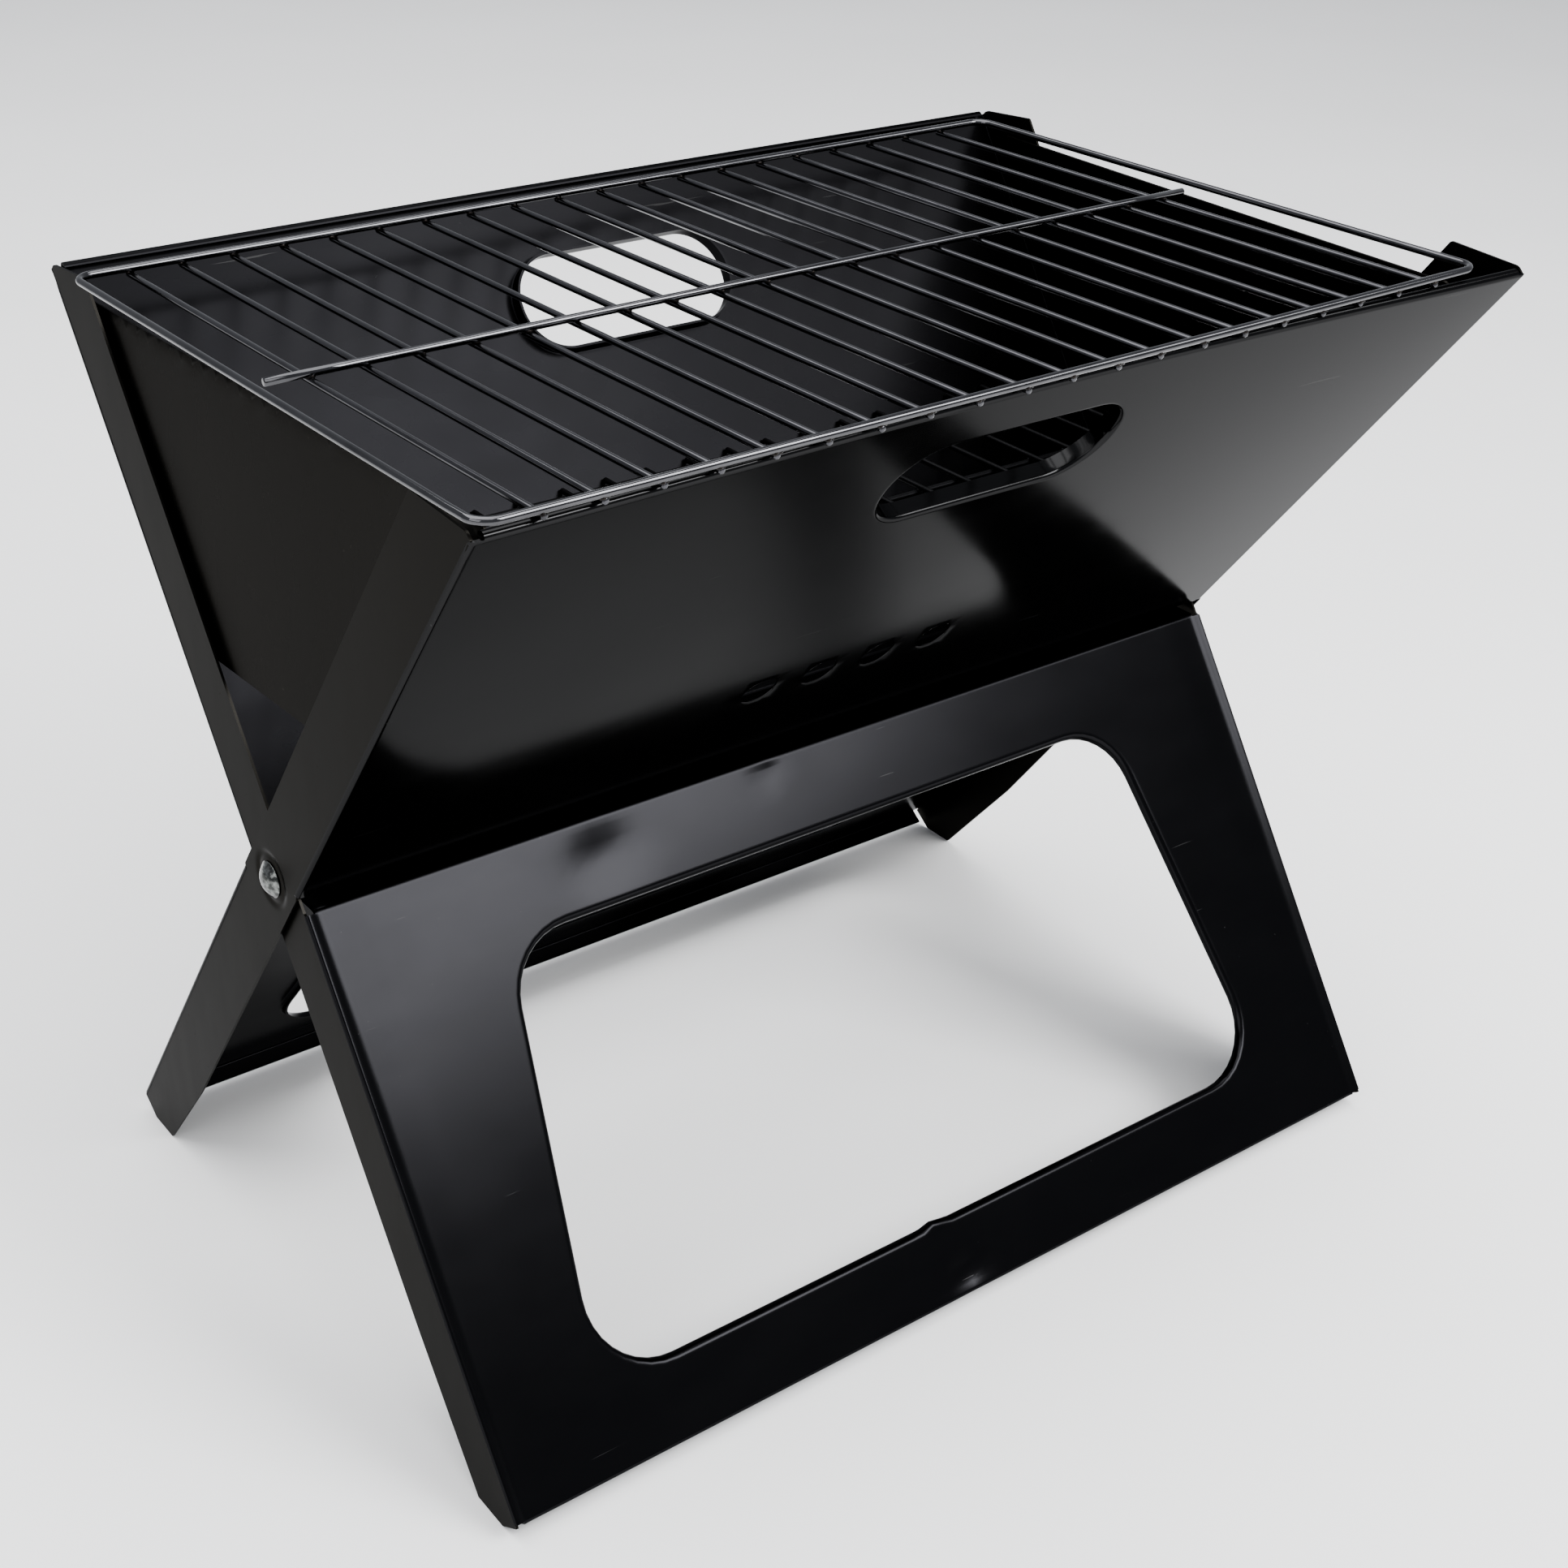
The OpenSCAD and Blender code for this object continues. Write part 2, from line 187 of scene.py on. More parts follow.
def new_piece(name, verts, faces, body, material, replaces=()):
    """A smooth-shaded mesh object that rides on a body and stands for the CAD nodes given."""
    mesh = bpy.data.meshes.new(name)
    mesh.from_pydata([tuple(v) for v in verts], [], faces)
    mesh.validate()
    mesh.polygons.foreach_set("use_smooth", [True] * len(mesh.polygons))
    mesh.materials.append(material)
    piece = bpy.data.objects.new(name, mesh)
    bpy.context.scene.collection.objects.link(piece)
    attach(piece, body)
    if replaces:
        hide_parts(*replaces)
    return piece


def soften(piece, width, sharpest):
    """Rounds every edge that turns by more than the angle given, in degrees."""
    soft = piece.modifiers.new("edge", "BEVEL")
    soft.width = width * MM
    soft.segments = 2
    soft.limit_method = "ANGLE"
    soft.angle_limit = math.radians(sharpest)
    soft.harden_normals = True


def thicken(piece):
    """Gives a skin its sheet thickness, on the side away from its normals, and soft edges."""
    solid = piece.modifiers.new("sheet", "SOLIDIFY")
    solid.thickness = SHEET * MM
    solid.offset = -1
    solid.use_even_offset = True
    soften(piece, SOFT_EDGE, 50)


def skin(outline, holes, across, up):
    """A triangulated flat domain: grid lines at the given places, closed outlines for the
    border and for each hole, and rings of points round each hole."""
    outline = crossed(outline, across, up)
    grid = np.array([(a, b) for a in across for b in up])
    keep = inside(outline, grid) & (gap_to(outline, grid) > 0.45)
    for loops in holes:
        keep &= ~inside(loops[-1], grid) & (gap_to(loops[-1], grid) > 1.0)
    points = [Vector(p) for p in outline]
    edges = [(i, (i + 1) % len(outline)) for i in range(len(outline))]
    for loops in holes:
        for loop in loops:
            first = len(points)
            points += [Vector(p) for p in loop]
            edges += [(first + i, first + (i + 1) % len(loop)) for i in range(len(loop))]
    points += [Vector(p) for p in grid[keep]]
    verts, _, faces, *_ = delaunay_2d_cdt(points, edges, [], 0, 1e-4)
    flat = np.array([tuple(v) for v in verts])
    faces = [list(f) for f in faces]
    middle = np.array([flat[f].mean(axis=0) for f in faces])
    good = inside(outline, middle)
    for loops in holes:
        good &= ~inside(loops[0], middle)
    faces = [f for f, ok in zip(faces, good) if ok]
    used = sorted({i for f in faces for i in f})
    index = {old: new for new, old in enumerate(used)}
    return flat[used], [[index[i] for i in f] for f in faces]


def front_place(x, u, n):
    """A point of the front shell's own frame, in metres in the object's frame."""
    return (x * MM, (-SIN * u - COS * n) * MM, (PIVOT_H + COS * u - SIN * n) * MM)


def rear_place(x, u, n):
    """A point of the rear shell's own frame, in metres in the object's frame."""
    return (-x * MM, (SIN * u + COS * n) * MM, (PIVOT_H + COS * u - SIN * n) * MM)


def tube(path, radius, sides=20, closed=False, round_ends=True):
    """Vertices and faces of a wire of even thickness along the path."""
    pts = [Vector(p) for p in path]
    count = len(pts)
    tangents = []
    for i in range(count):
        a = pts[(i - 1) % count] if closed or i else pts[0]
        b = pts[(i + 1) % count] if closed or i < count - 1 else pts[-1]
        tangents.append((b - a).normalized())
    side = tangents[0].orthogonal().normalized()
    stations = [(p, t, radius) for p, t in zip(pts, tangents)]
    if not closed and round_ends:
        lead, tail = [], []
        for k in (75, 50, 25):
            back = radius * 0.6 * math.sin(math.radians(k))
            r = radius * math.cos(math.radians(k)) ** 0.6
            lead.append((pts[0] - tangents[0] * back, tangents[0], r))
            tail.insert(0, (pts[-1] + tangents[-1] * back, tangents[-1], r))
        stations = lead + stations + tail
    verts, faces = [], []
    for p, t, r in stations:
        side = (side - t * side.dot(t)).normalized()
        other = t.cross(side)
        turns = [2 * math.pi * k / sides for k in range(sides)]
        verts += [p + (side * math.cos(turn) + other * math.sin(turn)) * r for turn in turns]
    total = len(stations)
    for i in range(total if closed else total - 1):
        j = (i + 1) % total
        for k in range(sides):
            m = (k + 1) % sides
            faces.append([i * sides + k, i * sides + m, j * sides + m, j * sides + k])
    if not closed:
        faces.append(list(range(sides))[::-1])
        faces.append([(total - 1) * sides + k for k in range(sides)])
    return verts, faces


def gather(parts):
    """Joins lists of vertices and faces into one."""
    verts, faces = [], []
    for v, f in parts:
        base = len(verts)
        verts += list(v)
        faces += [[base + i for i in face] for face in f]
    return verts, faces


def spun(profile, sides=56):
    """A closed form turned about the X axis: profile holds (distance along X, radius)."""
    verts, faces, rings = [], [], []
    for x, r in profile:
        if r < 1e-6:
            rings.append([len(verts)])
            verts.append((x, 0, 0))
        else:
            rings.append(list(range(len(verts), len(verts) + sides)))
            verts += [(x, r * math.cos(2 * math.pi * k / sides), r * math.sin(2 * math.pi * k / sides))
                      for k in range(sides)]
    for a, b in zip(rings, rings[1:]):
        for k in range(sides):
            m = (k + 1) % sides
            face = [a[k % len(a)], a[m % len(a)], b[m % len(b)], b[k % len(b)]]
            faces.append(list(dict.fromkeys(face)))
    return verts, faces


# ---------------------------------------------------------------- materials

def node_tree(name):
    material = bpy.data.materials.new(name)
    material.use_nodes = True
    tree = material.node_tree
    shader = tree.nodes["Principled BSDF"]
    place = tree.nodes.new("ShaderNodeTexCoord").outputs["Object"]
    return material, tree, shader, place


def noise_of(tree, place, scale, detail=3.0, stretch=None, turn=(0, 0, 0)):
    """A noise value, on coordinates that may be stretched."""
    if stretch:
        mapping = tree.nodes.new("ShaderNodeMapping")
        mapping.inputs["Scale"].default_value = stretch
        mapping.inputs["Rotation"].default_value = turn
        tree.links.new(place, mapping.inputs["Vector"])
        place = mapping.outputs["Vector"]
    noise = tree.nodes.new("ShaderNodeTexNoise")
    noise.inputs["Scale"].default_value = scale
    noise.inputs["Detail"].default_value = detail
    tree.links.new(place, noise.inputs["Vector"])
    return noise.outputs["Fac"]


def ranged(tree, value, low, high, to_low, to_high):
    span = tree.nodes.new("ShaderNodeMapRange")
    for key, number in (("From Min", low), ("From Max", high), ("To Min", to_low), ("To Max", to_high)):
        span.inputs[key].default_value = number
    tree.links.new(value, span.inputs["Value"])
    return span.outputs["Result"]


def blended(tree, factor, first, second):
    """Mixes two colours; either is a colour or a socket."""
    mix = tree.nodes.new("ShaderNodeMix")
    mix.data_type = "RGBA"
    tree.links.new(factor, mix.inputs["Factor"])
    for socket, colour in ((mix.inputs[6], first), (mix.inputs[7], second)):
        if isinstance(colour, tuple):
            socket.default_value = (*colour, 1)
        else:
            tree.links.new(colour, socket)
    return mix.outputs[2]


def combined(tree, operation, first, second):
    node = tree.nodes.new("ShaderNodeMath")
    node.operation = operation
    for socket, value in zip(node.inputs, (first, second)):
        if isinstance(value, (int, float)):
            socket.default_value = value
        else:
            tree.links.new(value, socket)
    return node.outputs[0]


def bumped(tree, shader, height, strength, distance):
    bump = tree.nodes.new("ShaderNodeBump")
    bump.inputs["Strength"].default_value = strength
    bump.inputs["Distance"].default_value = distance
    tree.links.new(height, bump.inputs["Height"])
    tree.links.new(bump.outputs["Normal"], shader.inputs["Normal"])


def enamel(name, reflection, dust, rough_low, rough_high, peel):
    """Black stove enamel: faint orange peel, even gloss, a few hair scratches and dust.
    Its reflection is set low, and the tint holds it down where the surface is seen at a slant."""
    material, tree, shader, place = node_tree(name)
    cloud = noise_of(tree, place, 7, 3)
    smear = noise_of(tree, place, 26, 3, stretch=(1, 3, 1), turn=(0.3, 0.2, 0.5))
    threads = noise_of(tree, place, 60, 2, stretch=(0.25, 9, 9), turn=(0, 0.5, 0.9))
    hair = ranged(tree, threads, 0.75, 0.77, 0, 1)
    spots = ranged(tree, noise_of(tree, place, 700, 1), 0.8, 0.84, 0, 1)
    specks = combined(tree, "MULTIPLY", spots, ranged(tree, cloud, 0.45, 0.6, 0, 1))
    marks = combined(tree, "MAXIMUM", hair, specks)
    body = blended(tree, ranged(tree, cloud, 0.3, 0.7, 0, 1), reflection, tuple(c * 1.12 for c in reflection))
    marked = blended(tree, combined(tree, "MULTIPLY", marks, 0.3), body, dust)
    tree.links.new(marked, shader.inputs["Base Color"])
    gloss = combined(tree, "ADD", ranged(tree, smear, 0.35, 0.7, rough_low, rough_high),
                     combined(tree, "MULTIPLY", marks, 0.15))
    tree.links.new(gloss, shader.inputs["Roughness"])
    height = combined(tree, "SUBTRACT", noise_of(tree, place, 420, 3), combined(tree, "MULTIPLY", hair, 0.4))
    bumped(tree, shader, height, 0.3, peel)
    shader.inputs["Metallic"].default_value = 1.0
    shader.inputs["Specular Tint"].default_value = (0.52, 0.52, 0.52, 1)
    return material


def bright_metal(name, colour, shade, rough_low, rough_high, grain=(1, 1, 1), patches=55, relief=0.00003):
    """Plated or coated metal: fine streaks along the grain and a duller film in patches. On the bolts the
    film's colour is the lighter one, and its patches are a painted streaky reflection.
    """
    material, tree, shader, place = node_tree(name)
    streak = noise_of(tree, place, 500, 3, stretch=grain)
    film = noise_of(tree, place, patches, 4)
    filmed = blended(tree, ranged(tree, film, 0.42, 0.7, 0, 1), colour, shade)
    tree.links.new(filmed, shader.inputs["Base Color"])
    tree.links.new(combined(tree, "ADD", ranged(tree, film, 0.35, 0.7, rough_low, rough_high),
                            combined(tree, "MULTIPLY", streak, 0.06)), shader.inputs["Roughness"])
    shader.inputs["Metallic"].default_value = 1.0
    bumped(tree, shader, streak, 0.2, relief)
    return material


# The front wall's enamel is a brighter copy of the legs' enamel, with a higher reflection: painted light on
# the front wall's outer face.
ENAMEL_WALL_PAINTED_LIGHT = enamel("enamel_wall_painted_light", (0.0125, 0.0125, 0.0128), (0.06, 0.06, 0.06), 0.12, 0.15, 0.00001)
ENAMEL = enamel("enamel_gloss", (0.0068, 0.0068, 0.0075), (0.06, 0.06, 0.06), 0.2, 0.23, 0.00001)
# The rear wall's enamel is a darker copy of the same enamel, with about half its reflection: painted shade on
# the wall's inner face inside the firebox.
ENAMEL_INSIDE_PAINTED_SHADE = enamel("enamel_inside_painted_shade", (0.0034, 0.0034, 0.0038), (0.04, 0.04, 0.04), 0.26, 0.3, 0.00001)
ENAMEL_STRIP = enamel("enamel_strip", (0.0088, 0.0083, 0.0074), (0.05, 0.045, 0.04), 0.3, 0.34, 0.00001)
ENAMEL_PLATE = enamel("enamel_plate", (0.0086, 0.0081, 0.0073), (0.05, 0.045, 0.04), 0.26, 0.3, 0.00001)
# The rack's chrome has its reflection held far below real chrome's, so the bright surroundings reflect dark
# in it: painted shade on the rack wires. The frame wire's copy is a little lighter.
CHROME_PAINTED_SHADE = bright_metal("chromed_wire_painted_shade", (0.055, 0.055, 0.06), (0.035, 0.035, 0.038), 0.1, 0.15, (1, 6, 1))
CHROME_FRAME_PAINTED_SHADE = bright_metal("chromed_frame_wire_painted_shade", (0.07, 0.07, 0.074), (0.045, 0.045, 0.048), 0.04, 0.07,
                            (6, 1, 1))
WELD = bright_metal("weld", (0.014, 0.012, 0.011), (0.007, 0.006, 0.006), 0.3, 0.45)
# The grate's wire is black, and it is held near black so that it stays faint inside the firebox: partly its
# own colour, partly painted shade.
DARK_WIRE = bright_metal("coated_grate_wire_and_painted_shade", (0.005, 0.005, 0.0055), (0.003, 0.003, 0.0033), 0.3, 0.45,
                         (1, 5, 1))
# The bolts' plating is held dark, with lighter mottled patches: painted shade and painted streaks of
# reflection on the domed heads, washers and nuts.
ZINC_PAINTED_SHADE_AND_STREAKS = bright_metal("plated_bolt_painted_shade_and_streaks", (0.04, 0.042, 0.04), (0.22, 0.23, 0.22), 0.08, 0.14, (1, 1, 3),
                    patches=420, relief=0.0004)


# ---------------------------------------------------------------- pressed shells

def side_bent(across, half):
    """Where a point of the flat sheet goes in x, and how far it drops from the face."""
    t = np.abs(across)
    flat = half - SIDE_BEND
    turn = np.clip((t - flat) / SIDE_BEND, 0, math.pi / 2)
    over = np.maximum(t - flat - SIDE_BEND * math.pi / 2, 0)
    x = np.where(t <= flat, t, flat + SIDE_BEND * np.sin(turn))
    return np.sign(across) * x, SIDE_BEND * (1 - np.cos(turn)) + over


def edge_rolled(along, start, radius, most, upward):
    """A sheet edge rolled inward from the given place: new place along u, and the drop."""
    way = 1 if upward else -1
    past = np.maximum((along - start) * way, 0)
    turn = np.minimum(past / radius, most)
    straight = np.maximum(past - radius * most, 0)
    u = np.where(past > 0, start + way * (radius * np.sin(turn) + straight * math.cos(most)), along)
    return u, radius * (1 - np.cos(turn)) + straight * math.sin(most)


def rim_drop(gap, width, depth):
    """A turned-in rim: a quarter ellipse from the face down to the hole's edge."""
    t = np.clip((width - gap) / width, 0, 1)
    return depth * (1 - np.sqrt(1 - t * t))


def collar_drop(gap, radius, depth):
    """A turned-in collar: a quarter circle from the face, then straight in to the hole's edge."""
    t = np.clip((radius - gap) / (radius - COLLAR_EDGE), 0, 1)
    straight = (depth - radius) * np.clip(1 - gap / COLLAR_EDGE, 0, 1)
    return radius * (1 - np.sqrt(1 - t * t)) + straight


def swell(value, centre, width):
    """A smooth bump of height 1 at the centre."""
    return np.exp(-((value - centre) / width) ** 2)


def eased(t):
    """From 0 to 1 with a level start and end."""
    t = np.clip(t, 0, 1)
    return t * t * (3 - 2 * t)


# How close to a hole's edge a collar stands straight in, and the places of the mesh's rings
COLLAR_EDGE = 0.12
RIM_STEPS = (0.0, 0.03, 0.08, COLLAR_EDGE, 0.2, 0.3, 0.55, 0.9, 1.4, 2.0, 2.7, 3.3, 4.2)
# Handle slot: width and height, corner radius, then the collar's bend radius and depth
SLOT_SIZE = (100.0, 38.0)
SLOT_R = 18.5
SLOT_RIM = (1.6, 6.5)
# Vents: radius, place up the slope, spacing and number, then the rim's width and depth
VENT_R = 7.5
VENT_U = 67.0
VENT_PITCH = 28.0
VENT_COUNT = 4
VENT_RIM = (0.5, 0.35)
# The bend at a wall's foot, and the level ledge under the fire that it leads into
BEAD = 2.4
LEDGE_GAP = 1.6
LEDGE = WALL_BOTTOM * SIN + HALF_STRIP * COS - LEDGE_GAP
LEDGE_HALF = 212.0
LEVEL_TURN = math.pi / 2 - LEAN
# A leg's level lip at its top and turned-in lip at its foot; lips stop short of the strips
TOP_LIP = 11.0
FOOT_LIP = 8.0
LIP_END = 4.0
# Leg window: corners, corner radius, then the rim's width and depth
WINDOW = [(-151, -49.3), (-174, -211), (174, -211), (151, -49.3)]
WINDOW_R = 28.0
WINDOW_RIM = (2.6, 3.5)
# Bend radii at a leg's top and foot, and how far down the leg a strip's corner is cut away
LEG_ROLL = 3.0
FOOT_ROLL = 1.4
STRIP_NOTCH = 1.0


def groove(side, depth):
    """The dip beside a leg's bent edge, by distance from the edge: down, then gently up."""
    return depth * (eased((side - 0.4) / 5.4) - 0.15 * eased((side - 6) / 18))


def box_corners(w, h, x, y):
    return [(x - w / 2, y - h / 2), (x + w / 2, y - h / 2), (x + w / 2, y + h / 2), (x - w / 2, y + h / 2)]


def graded(low, high, step, ends):
    """Grid lines from low to high, finer near each place in ends: (place, reach, fine step)."""
    lines = set(round(v, 3) for v in spaced(low, high, step))
    for place, reach, fine in ends:
        first, last = max(low, place - reach), min(high, place + reach)
        lines = {v for v in lines if not first < v < last}
        lines |= set(round(v, 3) for v in spaced(first, last, fine))
    return sorted(lines)


def ringed(corners, r, steps, step, arc_step=ARC_STEP):
    return [rounded(corners, r, step, grow, arc_step) for grow in steps]


def flat_reach(half):
    """Half width of the flat sheet that gives a shell of the given half width."""
    return half - SIDE_BEND + SIDE_BEND * math.pi / 2 + SIDE_LAP


def wall(name, half, slot_x, slot_u, place, body, node, bow, marks, material):
    """Upper half of a shell. bow is how far its top edge sags inward in the middle, and
    marks are shallow round dips: x, u, depth and radius."""
    reach = flat_reach(half)
    inner = half - LIP_END
    low, high = WALL_BOTTOM + BEAD * math.tan(LEVEL_TURN / 2), WALL_TOP - HEM + 1
    bent = low - BEAD * LEVEL_TURN
    lip = bent - (LEDGE - BEAD * math.tan(LEVEL_TURN / 2))
    hem = WALL_TOP - HEM + HEM * HEM_TURN
    border = [(-reach, low), (-inner, low), (-inner, bent), (-LEDGE_HALF, bent), (-LEDGE_HALF, lip),
              (LEDGE_HALF, lip), (LEDGE_HALF, bent), (inner, bent), (inner, low), (reach, low),
              (reach, high), (inner, high), (inner, hem), (-inner, hem), (-inner, high), (-reach, high)]
    outline = rounded(border, [0.0] * 10 + [2.5, 0, 0, 0, 0, 2.5], NO_SPLIT)
    slot = ringed(box_corners(*SLOT_SIZE, slot_x, slot_u), SLOT_R, RIM_STEPS, 3.0, ARC_STEP / 2)
    first_vent = slot_x - (VENT_COUNT - 1) * VENT_PITCH / 2
    vents = [[circle(first_vent + i * VENT_PITCH, VENT_U, VENT_R + g, 32) for g in (0, 0.1, 0.25, 0.5)]
             for i in range(VENT_COUNT)]
    across = graded(-reach, reach, 7, [(-reach, 8, 0.5), (reach, 8, 0.5)])
    up = graded(lip, hem, 7, [(low - 1.5, 3, 0.5), (hem, 7.5, 0.55)])
    flat, faces = skin(outline, [slot] + vents, across, up)
    x, drop = side_bent(flat[:, 0], half)
    u, top_drop = edge_rolled(flat[:, 1], WALL_TOP - HEM, HEM, HEM_TURN, True)
    u, low_drop = edge_rolled(u, low, BEAD, LEVEL_TURN, False)
    drop = drop + top_drop + low_drop + collar_drop(gap_to(slot[0], flat), *SLOT_RIM)
    for rings in vents:
        drop += rim_drop(gap_to(rings[0], flat), *VENT_RIM)
    middle = np.cos(np.clip(x / half, -1, 1) * math.pi / 2)
    drop += bow * middle ** 1.3 * np.clip(u / WALL_TOP, 0, 1) ** 2.2
    for mx, mu, depth, size in marks:
        drop += depth * swell(np.hypot(x - mx, u - mu), 0, size)
    verts = [place(*p) for p in zip(x, u, HALF_STRIP - drop)]
    thicken(new_piece(name, verts, faces, body, material, (node,)))


def leg_frame(name, half, place, body, node, dip, marks, nicks):
    """Lower half of a shell. dip is the depth of the groove beside its bent edges, marks are
    dents (x, u, depth, half width, half height) and nicks raise the window's lower rim (x, rise)."""
    reach = flat_reach(half)
    inner = half - LIP_END
    corner = LEG_ROLL * math.tan(LEVEL_TURN / 2)
    low, high = -LEG_BOTTOM + FOOT_ROLL, -LEG_TOP - corner
    foot = low - FOOT_ROLL * math.pi / 2 - FOOT_LIP + FOOT_ROLL
    bent = high + LEG_ROLL * LEVEL_TURN
    lip = bent + TOP_LIP - corner
    ear = -LEG_TOP - STRIP_NOTCH
    border = [(-reach, low), (-inner, low), (-inner, foot), (inner, foot), (inner, low), (reach, low),
              (reach, ear), (inner, ear), (inner, lip), (-inner, lip), (-inner, ear), (-reach, ear)]
    outline = rounded(border, 0.0, NO_SPLIT)
    window = ringed(WINDOW, WINDOW_R, RIM_STEPS, 5.0)
    finer = [(side * reach, *zone) for zone in ((27, 0.9), (5, 0.45)) for side in (-1, 1)]
    across = graded(-reach, reach, 7, finer)
    up = graded(foot, lip, 5, [(low, 3, 0.5), (high + 1.5, 3.5, 0.4)])
    flat, faces = skin(outline, [window], across, up)
    x, drop = side_bent(flat[:, 0], half)
    u, top_drop = edge_rolled(flat[:, 1], high, LEG_ROLL, LEVEL_TURN, True)
    u, low_drop = edge_rolled(u, low, FOOT_ROLL, math.pi / 2, False)
    drop = drop + top_drop + low_drop + rim_drop(gap_to(window[0], flat), *WINDOW_RIM)
    side = half - np.abs(x)
    face = (top_drop + low_drop) < 0.4
    drop += groove(side, dip)
    rim = swell(gap_to(window[0], flat), 0, 3.5) * (u < -200)
    for mx, rise in nicks:
        u = u + rise * swell(x, mx, 4) * rim
    drop += 0.12 * np.sin(x * 0.021 + 1) * np.sin(u * 0.028) * face * np.clip((side - 8) / 10, 0, 1)
    for mx, mu, depth, size, tall in marks:
        drop += depth * np.exp(-((x - mx) / size) ** 2 - ((u - mu) / tall) ** 2)
    verts = [place(*p) for p in zip(x, u, drop - HALF_STRIP)]
    faces = [f[::-1] for f in faces]
    thicken(new_piece(name, verts, faces, body, ENAMEL, (node,)))


BOLT_R = 4.0
PIVOT_GAP = 0.06
# A ring pressed round the pivot hole: its radius, height and width
RING_R = 9.4
RING_H = 0.5
RING_W = 1.4
HOLE_RINGS = (5.5, 7, 8.2, 9, 9.6, 10.2, 10.8, 11.4, 12, 12.8, 14)
# Where a strip's foot starts to taper, and how deep its tip is
TAPER_U = -170.0
FOOT_TIP = 11.2
# The strips' top corners stand just under the rack's frame wire
RACK_GAP = 0.35
STRIP_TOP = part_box("rack_frame_wire")[0][2] / MM - PIVOT_H - RACK_GAP


def side_strip(name, x, free, place, body, node):
    """One side strip: x is its outer face in the shell's frame, free its free edge's depth."""
    side = 1 if x > 0 else -1
    tucked = HALF_STRIP - SIDE_BEND + 0.1
    free_top = (STRIP_TOP - free * SIN) / COS
    tip_u = (-PIVOT_H + FOOT_TIP * SIN) / COS
    heel_n = (PIVOT_H - LEG_BOTTOM * COS) / SIN
    border = [(-LEG_BOTTOM, -tucked), (-LEG_TOP - STRIP_NOTCH, -tucked), (-LEG_TOP, -free), (free_top, -free),
              (WALL_TOP - 1, tucked - 3), (WALL_TOP - 1.5, tucked), (WALL_BOTTOM + 3, tucked),
              (WALL_BOTTOM, free), (TAPER_U, free), (tip_u, FOOT_TIP), (-LEG_BOTTOM, heel_n)]
    outline = rounded(border, [0.2, 0.2, 0.2, 1.2, 3.5, 0.3, 0.3, 0.3, 3, 0.8, 0.5], 5.0)
    hole = [circle(0, 0, r, 40) for r in (BOLT_R + PIVOT_GAP, *HOLE_RINGS)]
    along = graded(-LEG_BOTTOM, WALL_TOP, 6, [(-LEG_BOTTOM, 6, 1.5)])
    depth = spaced(-free, max(free, HALF_STRIP), 3.0)
    flat, faces = skin(outline, [hole], along, depth)
    raised = -RING_H * swell(np.hypot(flat[:, 0], flat[:, 1]), RING_R, RING_W)
    wave = 0.03 * np.sin(flat[:, 0] * 0.03) - 0.1
    verts = [place(x + side * (r + w), u, n) for (u, n), r, w in zip(flat, raised, wave)]
    if side < 0:
        faces = [f[::-1] for f in faces]
    thicken(new_piece(name, verts, faces, body, ENAMEL_STRIP, (node,)))


# Dents in the front leg: x, u, depth, half width, half height
LEG_DENTS = [(103, -31, 1.1, 14, 9), (23, -21, 0.5, 5, 4), (9, -234, 1.7, 9, 6), (16, -209, -1.2, 5, 3)]

wall("front_wall_sheet", HALF_OUTER, -8, 191, front_place, "front_shell", "front_wall", 3.2,
     [(-150, 150, 0.25, 40), (60, 80, 0.3, 45)], ENAMEL_WALL_PAINTED_LIGHT)
leg_frame("rear_leg_sheet", HALF_OUTER, front_place, "front_shell", "rear_leg_frame",
          0.3, [(40, -30, 0.4, 30, 8)], [])
wall("rear_wall_sheet", HALF_INNER, -4, 183, rear_place, "rear_shell", "rear_wall", 1.2,
     [(90, 120, 0.3, 50)], ENAMEL_INSIDE_PAINTED_SHADE)
leg_frame("front_leg_sheet", HALF_INNER, rear_place, "rear_shell", "front_leg_frame",
          1.3, LEG_DENTS, [(16, 1.6)])
side_strip("outer_strip_left_sheet", -HALF_OUTER, HALF_STRIP, front_place, "front_shell", "outer_strip_left")
side_strip("outer_strip_right_sheet", HALF_OUTER, HALF_STRIP, front_place, "front_shell", "outer_strip_right")
side_strip("inner_strip_left_sheet", HALF_INNER, INNER_FREE, rear_place, "rear_shell", "inner_strip_left")
side_strip("inner_strip_right_sheet", -HALF_INNER, INNER_FREE, rear_place, "rear_shell", "inner_strip_right")


# ---------------------------------------------------------------- pivots

HEAD_R = 7.0
HEAD_H = 3.5
SHANK = 11.0
DOME_RADII = (0, 1, 2, 3, 3.8, 4.5, 5.1, 5.6, 6.0)


def pivot_bolt(side, node):
    """A bolt with a low domed head, a flat land at its rim and a shank."""
    dome = [(HEAD_H - 0.75 * HEAD_H * (r / 6.2) ** 2.3, r) for r in DOME_RADII]
    rim = [(0.55, 6.75), (0.3, HEAD_R), (0.02, HEAD_R - 0.1), (0.0, 4.5), (-0.5, BOLT_R),
           (0.8 - SHANK, BOLT_R), (-SHANK, BOLT_R - 0.7), (-SHANK, 0)]
    profile = [(side * (HALF_OUTER + x) * MM, r * MM) for x, r in dome + rim]
    verts, faces = spun(profile)
    verts = [(x, y, z + PIVOT_H * MM) for x, y, z in verts]
    if side > 0:
        faces = [f[::-1] for f in faces]
    piece = new_piece(node + "_head", verts, faces, "front_shell", ZINC_PAINTED_SHADE_AND_STREAKS, (node,))
    soften(piece, 0.15, 40)


